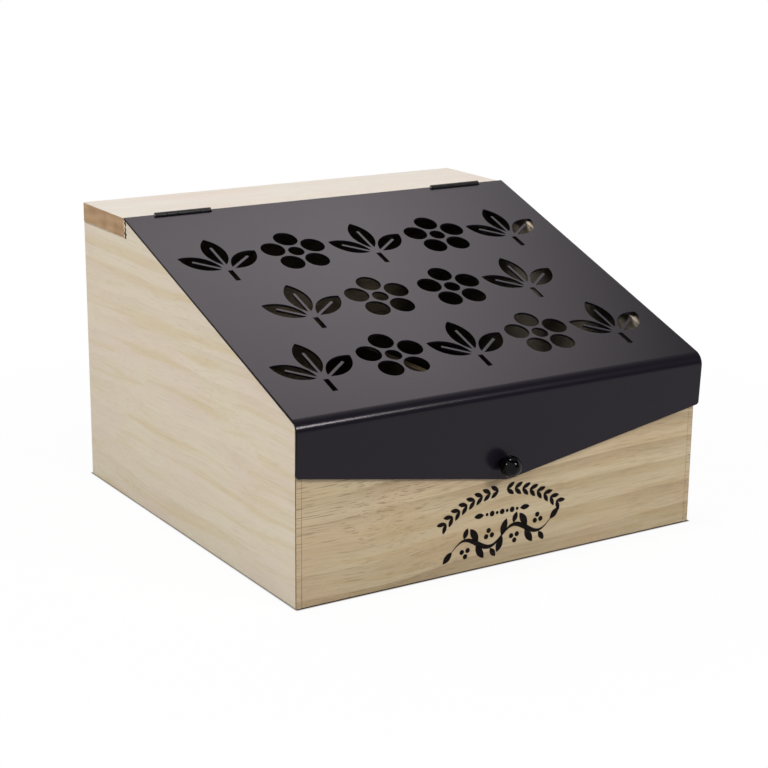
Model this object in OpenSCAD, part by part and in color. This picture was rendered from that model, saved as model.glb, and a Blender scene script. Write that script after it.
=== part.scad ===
// Tea bag organizer box: a glued wooden case with a sloped top, a grid of thin dividers
// and a bent sheet steel lid that swings on two small butt hinges.
// Origin: centre of the underside. X runs to the right, Y to the back, Z up.

/* [Case] */
// Width of the case
box_w = 220; // [200:5:300]
// Depth of the case
box_d = 214; // [190:2:280]
// Height of the case at the back
box_h = 143; // [125:1:200]
// Height of the case at the front
front_h = 82; // [76:1:95]
// Thickness of the side, front, back and top boards
board_t = 10; // [8:0.5:14]
// Depth of the fixed board at the back of the top
top_d = 49.5; // [30:0.5:70]
// Edge of each side panel that stays visible beside the front and back boards
lip_w = 3; // [2:0.5:5]

/* [Bottom] */
// Thickness of the plywood bottom
base_t = 4; // [3:0.5:6]
// Width of the rabbet that takes the bottom
base_lap = 5; // [4:0.5:7]
// Length of a bottom nail
nail_len = 14; // [12:1:20]
// Radius of a bottom nail
nail_r = 0.7; // [0.5:0.1:1]
// Radius of a nail's head
nail_head_r = 1.4; // [1.3:0.1:2]

/* [Compartments] */
// Thickness of the dividers
divider_t = 4; // [3:0.5:6]
// Height of the dividers above the bottom
divider_h = 54; // [30:1:60]
// Depth of the grooves that hold the dividers' ends
groove_d = 2.5; // [2:0.5:4]
// Play on each side of a divider in its groove or slot
groove_gap = 0.1; // [0.05:0.05:0.3]

/* [Lid] */
// Thickness of the steel sheet
sheet_t = 1; // [0.8:0.1:1.5]
// Overhang of the lid at each side of the case
lid_over = 1; // [0:0.5:3]
// Inner radius of the bend over the front edge
bend_r = 5.5; // [3:0.5:7]
// Distance from the flap's inner face to the case, at the case's top edge
flap_gap = 2.3; // [1.5:0.1:2.5]
// Gap under the rear of the closed lid, and behind the tip of the flap
rest_gap = 0.3; // [0.3:0.05:0.5]
// Gap from the closed sheet to the front's top edge
front_gap = 1.7; // [0.3:0.1:2]
// Height of the flap's outer corners above the underside
flap_corner_z = 59.8; // [50:0.2:66]
// Height of the point where the flap's lower edges meet
flap_tip_z = 40.5; // [20:0.5:45]
// Radius of the flap's tip
tip_r = 15; // [5:1:40]
// Radius of the flap's outer corners
corner_r = 1.5; // [0.5:0.5:5]

/* [Cut-outs] */
// Cut-outs in the first and the last row
columns = 5; // [3:1:6]
// Sheet left between a motif and the next one in its row
motif_gap = 2.8; // [2.6:0.2:10]
// Lid left whole between the hinge axis and the first row
margin_rear = 22; // [16:1:40]
// Lid left whole between the last row and the bend
margin_front = 10; // [6:1:30]
// Lid left whole beside the rows
margin_side = 9; // [6:1:20]
// Width of the bridges inside a motif
bridge_w = 1.4; // [1:0.1:2]

/* [Hinges] */
// Length of a hinge
hinge_len = 30; // [24:1:40]
// Distance from a side of the case to the middle of the hinge
hinge_inset = 30; // [26:1:50]
// Knuckles of a hinge, an odd number
knuckles = 5; // [3:2:7]
// Gap between two knuckles
knuckle_gap = 0.2; // [0.1:0.05:0.4]
// Radius of the barrel
barrel_r = 1.4; // [1.3:0.1:1.9]
// Radius of the pin
pin_r = 0.7; // [0.6:0.1:0.8]
// Play round the pin in the knuckles that turn
run_gap = 0.05; // [0.02:0.01:0.1]
// Play round the pin in the knuckles that hold it
hold_gap = 0.01; // [0.01:0.01:0.03]
// Thickness of the leaves
leaf_t = 0.7; // [0.6:0.1:0.8]
// Width of a leaf from the axis to its free edge
leaf_w = 8.5; // [8.5:0.5:9]
// Height of the hinge axis above the top board
axis_rise = 0.2; // [0.2:0.1:1]
// Gap between the barrel and the top board, or the rear edge of the lid
barrel_gap = 0.1; // [0.1:0.05:0.3]
// Distance from the middle of a hinge to each of its screws
hinge_screw_x = 9; // [8:0.5:10]

/* [Screws] */
// Radius of a hinge screw's shank
screw_r = 1; // [0.8:0.1:1.2]
// Radius of a hinge screw's head
screw_head_r = 1.9; // [1.8:0.1:2.2]
// Length of a hinge screw
screw_len = 9; // [7:0.5:14]
// Radius of the knob screw's shank
bolt_r = 1.25; // [1:0.05:1.5]
// Radius of the knob screw's head
bolt_head_r = 2.6; // [2.2:0.1:3]
// Thickness of the knob screw's head
bolt_head_t = 1.6; // [1.2:0.1:2]
// Play round screws and nails in their holes
screw_gap = 0.05; // [0.02:0.01:0.1]

/* [Knob] */
// Radius of the ball
knob_r = 5; // [4:0.5:7]
// Height of the knob above the tip of the flap
knob_up = 8.5; // [8:0.5:14]
// Shift of the knob from the middle, to the right where positive
knob_side = -3; // [-5:0.5:5]
// Radius of the knob's foot
knob_foot_r = 2.8; // [2.4:0.1:3.4]
// Gap between the flap and the ball
knob_stand = 0.4; // [0.2:0.1:2]

/* [Hidden] */

$fn = 64;
LEFT = -1;
RIGHT = 1;
// Extra length of a cutting body past the face it cuts
cut = 1;

// Inside of the case
in_w = box_w - 2 * board_t;
in_d = box_d - 2 * board_t;
front_y = -box_d / 2;
back_y = box_d / 2;
board_z = box_h - board_t;
board_front_y = back_y - top_d;

// Hinge axis, in front of the top board and a little above it
axis_y = board_front_y - barrel_r - barrel_gap;
axis_z = box_h + axis_rise;

// Closed sheet: rest_gap off the case at the rear and front_gap off the front's top edge
lid_drop = sheet_t + rest_gap;
fall = axis_z - front_h;
run = axis_y - front_y;
slope_a = acos((sheet_t + front_gap) / norm([fall, run])) - atan2(run, fall);
slope_dir = [cos(slope_a), sin(slope_a)];
slope_out = [-sin(slope_a), cos(slope_a)];
slope_top_z = axis_z + ((board_front_y - axis_y) * sin(slope_a) - lid_drop) / cos(slope_a);

// Flap: leans in until its inner face is rest_gap off the case at the tip
flap_a = atan((flap_gap - rest_gap) / (front_h - flap_tip_z));
flap_out = [-cos(flap_a), -sin(flap_a)];
flap_in_y = front_y - flap_gap;
flap_len = 2 * (front_h - flap_tip_z);

// Centre of the bend: bend_r inside the inner faces of the slope and of the flap
slope_k = slope_out * [axis_y, axis_z] - sheet_t - bend_r;
flap_k = flap_out * [flap_in_y, front_h] - bend_r;
bend_c = [slope_k * flap_out.y - flap_k * slope_out.y,
    slope_out.x * flap_k - flap_out.x * slope_k] / cos(slope_a - flap_a);
bend_u = (bend_c - [axis_y, axis_z]) * slope_dir;

// Lid edges: behind the axis it swings just clear of the side panels
lid_w = box_w + 2 * lid_over;
rear_over = sqrt(lid_drop * lid_drop - sheet_t * sheet_t) - barrel_gap;
edge_a = atan((flap_corner_z - flap_tip_z) / (lid_w / 2));

// Rows of cut-outs
rows = 3;
row_pitch = (-bend_u - margin_rear - margin_front) / rows;
column_pitch = (lid_w - 2 * margin_side) / columns;
motif_h = min(row_pitch, column_pitch) - motif_gap;

// Compartments: three across and two deep
cell_pitch_x = (in_w - 2 * divider_t) / 3 + divider_t;
cell_pitch_y = (in_d + divider_t) / 2;
divider_end = groove_d - groove_gap;
slot_w = divider_t + 2 * groove_gap;

// Hinge
hinge_x = box_w / 2 - hinge_inset;
knuckle_w = hinge_len / knuckles;
notch_gap = 0.4;
notch_w = hinge_len + 2 * notch_gap;
screw_drop = axis_rise + board_t / 2;
head_h = screw_head_r - screw_r;

// Knob
knob_z = flap_tip_z + knob_up;
knob_y = flap_in_y - (sheet_t + (knob_z - front_h) * sin(flap_a)) / cos(flap_a);
knob_bore = knob_stand + 1.3 * knob_r;
bolt_len = knob_bore - 0.5;

function arc(c, r, from, to, steps = 8) =
    [for (i = [0:steps]) c + r * [cos(from + (to - from) * i / steps), sin(from + (to - from) * i / steps)]];

function mirrored(points) = [for (i = [len(points) - 1:-1:0]) [-points[i].x, points[i].y]];

// Extrudes a side view, drawn as [y, z], over the width w
module across(w) {
    rotate([90, 0, 90]) linear_extrude(w, center = true) children();
}

// Frame of the lid: X along the hinge axis, Y up the slope, Z out of the lid
module on_slope() {
    translate([0, axis_y, axis_z]) rotate([slope_a, 0, 0]) children();
}

// Frame of the knob: Z out of the flap, origin on its outer face
module on_flap() {
    translate([knob_side, knob_y, knob_z]) rotate([90 + flap_a, 0, 0]) children();
}

module at_hinge(side) {
    translate([side * hinge_x, axis_y, axis_z]) children();
}

// ---- Case ----

// Wooden outline of the case from the side, without the top board's notch
module case_outline() {
    polygon([[front_y, 0], [back_y, 0], [back_y, board_z], [board_front_y, board_z],
        [board_front_y, slope_top_z], [front_y, front_h]]);
}

module base_body(gap = 0) {
    translate([0, 0, base_t / 2 + gap / 2])
        cube([in_w + 2 * base_lap, in_d + 2 * base_lap, base_t + gap], center = true);
}

// Grooves in the four walls for the ends of the dividers
module divider_grooves() {
    groove_h = divider_h + groove_gap;
    translate([0, 0, base_t + groove_h / 2])
        cube([in_w + 2 * groove_d, slot_w, groove_h], center = true);
    for (x = [-1, 1] * cell_pitch_x / 2)
        translate([x, 0, base_t + groove_h / 2])
            cube([slot_w, in_d + 2 * groove_d, groove_h], center = true);
}

// One nail, head down, grown by gap on every side for its hole
module nail(gap = 0) {
    tip = 2 * nail_r;
    head_t = 0.8;
    rotate_extrude() polygon([[0, -gap], [nail_head_r + gap, -gap], [nail_head_r + gap, head_t + gap],
        [nail_r + gap, head_t + gap], [nail_r + gap, nail_len - tip], [0, nail_len + gap]]);
}

// The nails stand in the lap of the bottom, in line with the middle of each compartment
module nails(gap = 0) {
    sink = 0.2;
    lap_x = (in_w + base_lap) / 2;
    lap_y = (in_d + base_lap) / 2;
    for (side = [LEFT, RIGHT]) {
        for (column = [-1:1])
            translate([column * cell_pitch_x, side * lap_y, sink]) nail(gap);
        for (row = [-0.5, 0.5])
            translate([side * lap_x, row * cell_pitch_y, sink]) nail(gap);
    }
}

module side_panel() {
    color("burlywood") difference() {
        translate([(box_w - board_t) / 2, 0, 0]) across(board_t) case_outline();
        for (end = [-1, 1])
            translate([0, end * (box_d - board_t + cut) / 2, box_h / 2])
                cube([box_w - 2 * lip_w, board_t + cut, box_h + 2 * cut], center = true);
        base_body();
        divider_grooves();
        nails(screw_gap);
    }
}

module side_left() {
    mirror([1, 0, 0]) side_panel();
}

module side_right() {
    side_panel();
}

// Board between the side panels' lips, its inner face board_t behind the outer one
module end_board(outer_y, inner_y) {
    intersection() {
        across(box_w - 2 * lip_w) case_outline();
        translate([-box_w / 2, min(outer_y, inner_y), 0]) cube([box_w, board_t, board_z]);
    }
}

module front_panel() {
    color("burlywood") difference() {
        end_board(front_y, front_y + board_t);
        base_body();
        divider_grooves();
        nails(screw_gap);
        knob_screw_recess();
    }
}

module back_panel() {
    color("burlywood") difference() {
        end_board(back_y, back_y - board_t);
        base_body();
        divider_grooves();
        nails(screw_gap);
    }
}

module top_board() {
    color("wheat") difference() {
        translate([-box_w / 2, board_front_y, board_z]) cube([box_w, top_d, board_t]);
        for (side = [LEFT, RIGHT]) hinge_screws(side, screw_gap);
    }
}

module base_panel() {
    color("tan") difference() {
        base_body();
        nails(screw_gap);
    }
}

module base_nails() {
    color("silver") nails();
}

// ---- Compartments ----

module divider_long() {
    slot_h = divider_h / 2;
    color("tan") difference() {
        translate([0, 0, base_t + divider_h / 2])
            cube([in_w + 2 * divider_end, divider_t, divider_h], center = true);
        for (x = [-1, 1] * cell_pitch_x / 2)
            translate([x, 0, base_t + slot_h + (slot_h + cut) / 2])
                cube([slot_w, divider_t + 2 * cut, slot_h + cut], center = true);
    }
}

module divider_cross(side) {
    slot_h = divider_h / 2;
    color("tan") translate([side * cell_pitch_x / 2, 0, base_t]) difference() {
        translate([0, 0, divider_h / 2])
            cube([divider_t, in_d + 2 * divider_end, divider_h], center = true);
        translate([0, 0, (slot_h - cut) / 2])
            cube([divider_t + 2 * cut, slot_w, slot_h + cut], center = true);
    }
}

module divider_cross_left() {
    divider_cross(LEFT);
}

module divider_cross_right() {
    divider_cross(RIGHT);
}

// ---- Lid ----

// Sheet seen from the side: flat on the slope, bend, flap
module sheet_profile() {
    from = 90 + slope_a;
    to = 180 + flap_a;
    outer = arc(bend_c, bend_r + sheet_t, from, to, 12);
    inner = arc(bend_c, bend_r, to, from, 12);
    rear = [axis_y, axis_z] + rear_over * slope_dir;
    below = flap_len * [sin(flap_a), -cos(flap_a)];
    polygon(concat([rear], outer, [outer[12] + below, inner[0] + below], inner,
        [rear - sheet_t * slope_out]));
}

// Lid seen from the front: the flap's lower edges fall to a rounded tip in the middle
module lid_front_view() {
    fall_a = -(90 - edge_a);
    corner_c = [lid_w / 2 - corner_r, flap_corner_z + corner_r * (1 - sin(edge_a)) / cos(edge_a)];
    tip_c = [0, flap_tip_z + tip_r / cos(edge_a)];
    right = concat([[lid_w / 2, box_h + barrel_r]], arc(corner_c, corner_r, 0, fall_a),
        arc(tip_c, tip_r, fall_a, -90));
    polygon(concat(right, mirrored(right)));
}

// Pointed leaf outline, tip up, centred
module leaf(len, wid) {
    r = (len * len + wid * wid) / (4 * wid);
    intersection_for (side = [-1, 1]) translate([side * (r - wid / 2), 0]) circle(r);
}

// Leaf with a tongue of sheet left standing as its midrib
module veined_leaf(len, wid) {
    difference() {
        leaf(len, wid);
        translate([-bridge_w / 2, -len / 2 - cut]) square([bridge_w, 0.68 * len + cut]);
    }
}

// Two leaves and a bud on a stalk, one unit high
module sprig(size) {
    translate([0, 0.18 * size]) veined_leaf(0.64 * size, 0.3 * size);
    for (side = [-1, 1])
        translate([side * 0.06 * size, -0.22 * size]) rotate(-side * 54)
            translate([0, 0.3 * size]) veined_leaf(0.58 * size, 0.28 * size);
    translate([-0.035 * size, -size / 2]) square([0.07 * size, 0.24 * size]);
}

// Five petals round a centre
module blossom(size) {
    petal_r = 0.16 * size;
    ring_r = (petal_r + bridge_w / 2) / sin(36);
    for (i = [0:4]) rotate(72 * i) translate([0, ring_r]) circle(petal_r);
    circle(ring_r - petal_r - bridge_w);
}

// Rows of motifs that mirror left to right, the middle row one motif shorter
module cut_outs() {
    for (row = [0:rows - 1]) {
        count = columns - row % 2;
        for (i = [0:count - 1]) {
            place = i - (count - 1) / 2;
            translate([place * column_pitch, -margin_rear - (row + 0.5) * row_pitch]) {
                if ((floor(abs(place)) + row) % 2 == 0) sprig(motif_h);
                else blossom(motif_h);
            }
        }
    }
}

module lid_sheet() {
    color("#2b2a2d") difference() {
        intersection() {
            across(lid_w) sheet_profile();
            rotate([90, 0, 0]) linear_extrude(2 * box_d, center = true) lid_front_view();
        }
        on_slope() translate([0, 0, -2 * sheet_t]) linear_extrude(3 * sheet_t) cut_outs();
        for (side = [LEFT, RIGHT])
            on_slope() translate([side * hinge_x - notch_w / 2, -barrel_r - notch_gap, -2 * sheet_t])
                cube([notch_w, barrel_r + notch_gap + rear_over + cut, 3 * sheet_t]);
        on_flap() cylinder(r = bolt_r + 3 * screw_gap, h = 4 * sheet_t, center = true);
    }
}

// ---- Knob ----

module knob() {
    color("#111113") on_flap() difference() {
        union() {
            translate([0, 0, knob_stand + knob_r]) sphere(knob_r);
            cylinder(r = knob_foot_r, h = knob_stand + knob_r / 2);
        }
        translate([0, 0, -cut]) cylinder(r = bolt_r + screw_gap, h = knob_bore + cut);
    }
}

module knob_screw() {
    slot_w = 0.6;
    slot_h = bolt_head_t / 2;
    color("dimgray") on_flap() difference() {
        union() {
            translate([0, 0, -sheet_t]) cylinder(r = bolt_r, h = sheet_t + bolt_len);
            translate([0, 0, -sheet_t - bolt_head_t]) cylinder(r = bolt_head_r, h = bolt_head_t);
        }
        translate([0, 0, -sheet_t - bolt_head_t])
            cube([2 * bolt_head_r + cut, slot_w, 2 * slot_h], center = true);
    }
}

// Hollow in the front board behind the knob, with room for the head to swing up and out
module knob_screw_recess() {
    swing = 3;
    depth = bolt_head_t + 1;
    translate([knob_side, front_y + depth, knob_z + swing / 2]) rotate([90, 0, 0])
        cylinder(r = bolt_head_r + swing, h = depth + cut);
}

// ---- Hinges ----

// Knuckles number first, first + 2 and so on, along the axis
module knuckle_row(first, r, gap) {
    for (i = [first:2:knuckles - 1])
        translate([i * knuckle_w - hinge_len / 2 + gap, 0, 0]) rotate([0, 90, 0])
            cylinder(r = r, h = knuckle_w - 2 * gap);
}

module pin_bore(play) {
    rotate([0, 90, 0]) cylinder(r = pin_r + play, h = hinge_len + 2 * cut, center = true);
}

// Leaf behind the barrel, cut free round the other leaf's knuckles
module fixed_leaf(side) {
    color("#1c1c1e") at_hinge(side) difference() {
        union() {
            translate([-hinge_len / 2, barrel_r + barrel_gap - leaf_t, -leaf_w])
                cube([hinge_len, leaf_t, leaf_w - axis_rise - barrel_gap]);
            knuckle_row(0, barrel_r, knuckle_gap / 2);
        }
        for (i = [1:2:knuckles - 1])
            translate([i * knuckle_w - hinge_len / 2 - knuckle_gap / 2, -barrel_r, -barrel_r - notch_gap])
                cube([knuckle_w + knuckle_gap, 3 * barrel_r, 3 * barrel_r]);
        pin_bore(hold_gap);
        screws_in_leaf(screw_gap);
    }
}

// Leaf under the sheet, cut free round the fixed knuckles
module lid_leaf(side) {
    color("#1c1c1e") translate([side * hinge_x, 0, 0]) on_slope() difference() {
        union() {
            translate([-hinge_len / 2, -leaf_w, -sheet_t - leaf_t]) cube([hinge_len, leaf_w, leaf_t]);
            knuckle_row(1, barrel_r, knuckle_gap / 2);
        }
        for (i = [0:2:knuckles - 1])
            translate([i * knuckle_w - hinge_len / 2 - knuckle_gap / 2, -barrel_r - notch_gap, -2 * barrel_r])
                cube([knuckle_w + knuckle_gap, 3 * barrel_r, 4 * barrel_r]);
        pin_bore(run_gap);
    }
}

module pin(side) {
    color("silver") at_hinge(side) rotate([0, 90, 0])
        cylinder(r = pin_r, h = hinge_len, center = true);
}

// Countersunk wood screw along Z, head at the origin, grown by gap for its hole
module wood_screw(gap = 0) {
    tip = 2 * screw_r;
    rotate_extrude() polygon([[0, -gap], [screw_head_r + gap, -gap], [screw_head_r + gap, 0],
        [screw_r + gap, head_h], [screw_r + gap, screw_len - tip], [0, screw_len + gap]]);
}

module screws_in_leaf(gap = 0) {
    for (x = [-1, 1] * hinge_screw_x)
        translate([x, barrel_r + barrel_gap - leaf_t, -screw_drop]) rotate([-90, 0, 0]) wood_screw(gap);
}

module hinge_screws(side, gap = 0) {
    at_hinge(side) screws_in_leaf(gap);
}

module hinge_screw_pair(side) {
    slot_w = 0.5;
    slot_h = 0.4;
    color("#1c1c1e") difference() {
        hinge_screws(side);
        at_hinge(side)
            for (x = [-1, 1] * hinge_screw_x)
                translate([x, barrel_r + barrel_gap - leaf_t, -screw_drop])
                    cube([slot_w, 2 * slot_h, 2 * screw_head_r + cut], center = true);
    }
}

module hinge_left_fixed_leaf() {
    fixed_leaf(LEFT);
}

module hinge_left_lid_leaf() {
    lid_leaf(LEFT);
}

module hinge_left_pin() {
    pin(LEFT);
}

module hinge_left_screws() {
    hinge_screw_pair(LEFT);
}

module hinge_right_fixed_leaf() {
    fixed_leaf(RIGHT);
}

module hinge_right_lid_leaf() {
    lid_leaf(RIGHT);
}

module hinge_right_pin() {
    pin(RIGHT);
}

module hinge_right_screws() {
    hinge_screw_pair(RIGHT);
}

side_left();
side_right();
front_panel();
back_panel();
top_board();
base_panel();
base_nails();
divider_long();
divider_cross_left();
divider_cross_right();
lid_sheet();
knob();
knob_screw();
hinge_left_fixed_leaf();
hinge_left_lid_leaf();
hinge_left_pin();
hinge_left_screws();
hinge_right_fixed_leaf();
hinge_right_lid_leaf();
hinge_right_pin();
hinge_right_screws();
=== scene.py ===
"""Tea bag organizer box: a pale wooden case under a black sheet metal lid with stencil cut-outs.

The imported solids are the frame. Each board, leaf and sheet of it gets eased edges and its own
finish, the ball knob is turned anew, and a small ornament is printed on the front board.
"""

import logging
import math
from dataclasses import dataclass, field, replace
from enum import Enum
from functools import cache
from typing import Callable, Iterable

import bmesh
import bpy
from bmesh.types import BMesh, BMFace
from bpy.types import ID, Material, Node, NodeSocket, NodeTree, Object, World
from mathutils import Matrix, Quaternion, Vector


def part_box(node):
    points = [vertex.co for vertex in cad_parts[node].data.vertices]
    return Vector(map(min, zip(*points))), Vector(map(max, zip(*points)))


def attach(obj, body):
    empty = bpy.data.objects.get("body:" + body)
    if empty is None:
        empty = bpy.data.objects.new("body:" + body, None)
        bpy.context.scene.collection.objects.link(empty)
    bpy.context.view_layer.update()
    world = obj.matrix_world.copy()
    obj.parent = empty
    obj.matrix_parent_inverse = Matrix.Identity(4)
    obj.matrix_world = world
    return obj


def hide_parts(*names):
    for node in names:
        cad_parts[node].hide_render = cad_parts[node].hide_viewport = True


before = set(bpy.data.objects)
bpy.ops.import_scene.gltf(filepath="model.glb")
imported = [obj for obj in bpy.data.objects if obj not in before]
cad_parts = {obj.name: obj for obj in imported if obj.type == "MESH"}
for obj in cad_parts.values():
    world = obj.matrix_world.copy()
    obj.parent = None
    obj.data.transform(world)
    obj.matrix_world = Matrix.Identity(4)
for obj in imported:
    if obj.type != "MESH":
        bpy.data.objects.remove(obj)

log = logging.getLogger("tea_box")

Pair = tuple[float, float]
Triple = tuple[float, float, float]
Colour = tuple[float, float, float, float]
MM = 0.001


class Axis(Enum):
    """A direction of the case: across the front, from front to back, or up."""

    ACROSS = 0
    BACK = 1
    UP = 2


def srgb(red: int, green: int, blue: int) -> Colour:
    """Turns a display colour into the linear colour that a shader takes.

    Args:
        red, green, blue: display values from 0 to 255.

    Returns:
        The linear colour with full opacity.
    """
    def linear(value: int) -> float:
        """Turns one display value into a linear one."""
        part = value / 255
        return part / 12.92 if part <= 0.04045 else ((part + 0.055) / 1.055) ** 2.4

    return linear(red), linear(green), linear(blue), 1.0


# ---- node trees


@dataclass(frozen=True)
class Layer:
    """A layer of markings: a noise, drawn out along X, that fades in between two of its levels."""

    scale: float
    fade: Pair
    along: float = 1.0
    detail: float = 2.0
    roughness: float = 0.5


class Tree:
    """Short forms for adding and linking the nodes of one material, world or group."""

    def __init__(self, tree: NodeTree) -> None:
        """Keeps the tree that the methods work on."""
        self.tree = tree

    def feed(self, node: Node, inputs: dict) -> None:
        """Gives a node's inputs what they take.

        Args:
            node: the node.
            inputs: a value or an output socket for each named or numbered input.
        """
        for name, value in inputs.items():
            socket = node.inputs[name]
            if isinstance(value, NodeSocket):
                self.tree.links.new(value, socket)
            else:
                socket.default_value = value

    def add(self, kind: str, inputs: dict | None = None, **settings: object) -> Node:
        """Adds a node.

        Args:
            kind: the node's type without its ShaderNode prefix.
            inputs: what its inputs take.
            settings: the node's own properties.

        Returns:
            The new node.
        """
        node = self.tree.nodes.new(kind if kind.startswith("Node") else "ShaderNode" + kind)
        for name, value in settings.items():
            setattr(node, name, value)
        self.feed(node, inputs or {})
        return node

    def maths(self, operation: str, *values: object) -> NodeSocket:
        """Adds a Math node on the values and returns its result."""
        return self.add("Math", dict(enumerate(values)), operation=operation).outputs[0]

    def times(self, first: object, second: object) -> NodeSocket:
        """Multiplies two values and returns the result."""
        return self.maths("MULTIPLY", first, second)

    def vector_maths(self, operation: str, *values: object) -> NodeSocket:
        """Adds a Vector Math node on the values and returns its result, a number where it is a length."""
        node = self.add("VectorMath", dict(enumerate(values)), operation=operation)
        return node.outputs["Value" if operation == "LENGTH" else "Vector"]

    def stretch(self, vector: NodeSocket, scale: Triple) -> NodeSocket:
        """Multiplies a vector by a scale and returns the result."""
        return self.vector_maths("MULTIPLY", vector, scale)

    def noise(self, vector: NodeSocket, scale: float, detail: float = 2.0,
              roughness: float = 0.5) -> NodeSocket:
        """Adds a Noise Texture and returns its value."""
        return self.add("TexNoise", {"Vector": vector, "Scale": scale, "Detail": detail,
                                     "Roughness": roughness}).outputs["Fac"]

    def between(self, value: NodeSocket, low: float, high: float, to_low: float = 0.0,
                to_high: float = 1.0) -> NodeSocket:
        """Maps a value smoothly from one range to another and returns the result."""
        return self.add("MapRange", {"Value": value, "From Min": low, "From Max": high, "To Min": to_low,
                                     "To Max": to_high}, interpolation_type="SMOOTHSTEP").outputs["Result"]

    def marks(self, vector: NodeSocket, layer: Layer) -> NodeSocket:
        """Adds a layer of markings and returns its mask."""
        drawn = self.stretch(vector, (layer.along, 1.0, 1.0))
        return self.between(self.noise(drawn, layer.scale, layer.detail, layer.roughness), *layer.fade)

    def bump(self, height: NodeSocket, distance: float) -> NodeSocket:
        """Turns a height into the surface's normal and returns it."""
        return self.add("Bump", {"Height": height, "Distance": distance}).outputs[0]

    def seen(self) -> NodeSocket:
        """Returns 1 for the rays that show a background, from the camera, by gloss or through glass."""
        path = self.add("LightPath").outputs
        return self.maths("MAXIMUM", path["Is Camera Ray"],
                          self.maths("MAXIMUM", path["Is Glossy Ray"], path["Is Transmission Ray"]))

    def ramp(self, value: NodeSocket, stops: tuple[Pair, ...]) -> NodeSocket:
        """Adds a grey Color Ramp.

        Args:
            value: goes from 0 at the first stop to 1 at the last one.
            stops: place and grey level of each stop, in order.

        Returns:
            The level.
        """
        node = self.add("ValToRGB", {"Fac": value})
        first, last = stops[0][0], stops[-1][0]
        elements = node.color_ramp.elements
        for place, _ in stops[1:-1]:
            elements.new((place - first) / (last - first))
        for element, (_, level) in zip(elements, stops):
            element.color = (level, level, level, 1.0)
        return node.outputs["Color"]

    def mix(self, factor: object, first: object, second: object, blend: str = "MIX") -> NodeSocket:
        """Mixes two colours and returns the result."""
        return self.add("Mix", {0: factor, 6: first, 7: second}, data_type="RGBA",
                        blend_type=blend).outputs[2]


def fresh_tree(owner: Material | World) -> Tree:
    """Empties a node tree.

    Args:
        owner: the new material or world that has it.

    Returns:
        The tree.
    """
    owner.use_nodes = True
    owner.node_tree.nodes.clear()
    return Tree(owner.node_tree)


def fresh_material(name: str) -> tuple[Material, Tree]:
    """Makes an empty material and returns it with its Tree."""
    material = bpy.data.materials.new(name)
    return material, fresh_tree(material)


def effect_group(name: str, inputs: dict[str, object],
                 outputs: dict[str, str]) -> tuple[NodeTree, Tree, Node, Node]:
    """Starts a shader node group.

    Args:
        name: the group's name.
        inputs: each input's default value; a tuple of 3 is a vector, one of 4 a colour.
        outputs: each output's socket type, "Color" or "Float".

    Returns:
        The group, its Tree, its input node and its output node.
    """
    group = bpy.data.node_groups.new(name, "ShaderNodeTree")
    for label, value in inputs.items():
        size = len(value) if isinstance(value, tuple) else 1
        kind = {1: "Float", 3: "Vector", 4: "Color"}[size]
        socket = group.interface.new_socket(label, in_out="INPUT", socket_type="NodeSocket" + kind)
        socket.default_value = value
    for label, kind in outputs.items():
        group.interface.new_socket(label, in_out="OUTPUT", socket_type="NodeSocket" + kind)
    tree = Tree(group)
    return group, tree, tree.add("NodeGroupInput"), tree.add("NodeGroupOutput")


WHITE = (1.0, 1.0, 1.0, 1.0)
WOOD_ZONES = Layer(26.0, (0.38, 0.66), along=0.3)
WOOD_STREAKS = Layer(190.0, (0.47, 0.70), along=0.028, roughness=0.6)
WOOD_FIBRES = Layer(900.0, (0.44, 0.70), along=0.035, detail=3.0, roughness=0.65)
WOOD_PORES = Layer(2300.0, (0.57, 0.69), along=0.026, detail=1.0)
WOOD_TINTS = Layer(34.0, (0.36, 0.66), along=0.45)
WOOD_SWAY_SCALE = (9.0, 14.0, 14.0)
WOOD_SWAY_REACH = (0.0, 0.012, 0.012)
WOOD_RING_STRETCH = (0.09, 1.0, 1.0)
PORE_SHADE = srgb(176, 160, 140)


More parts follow.
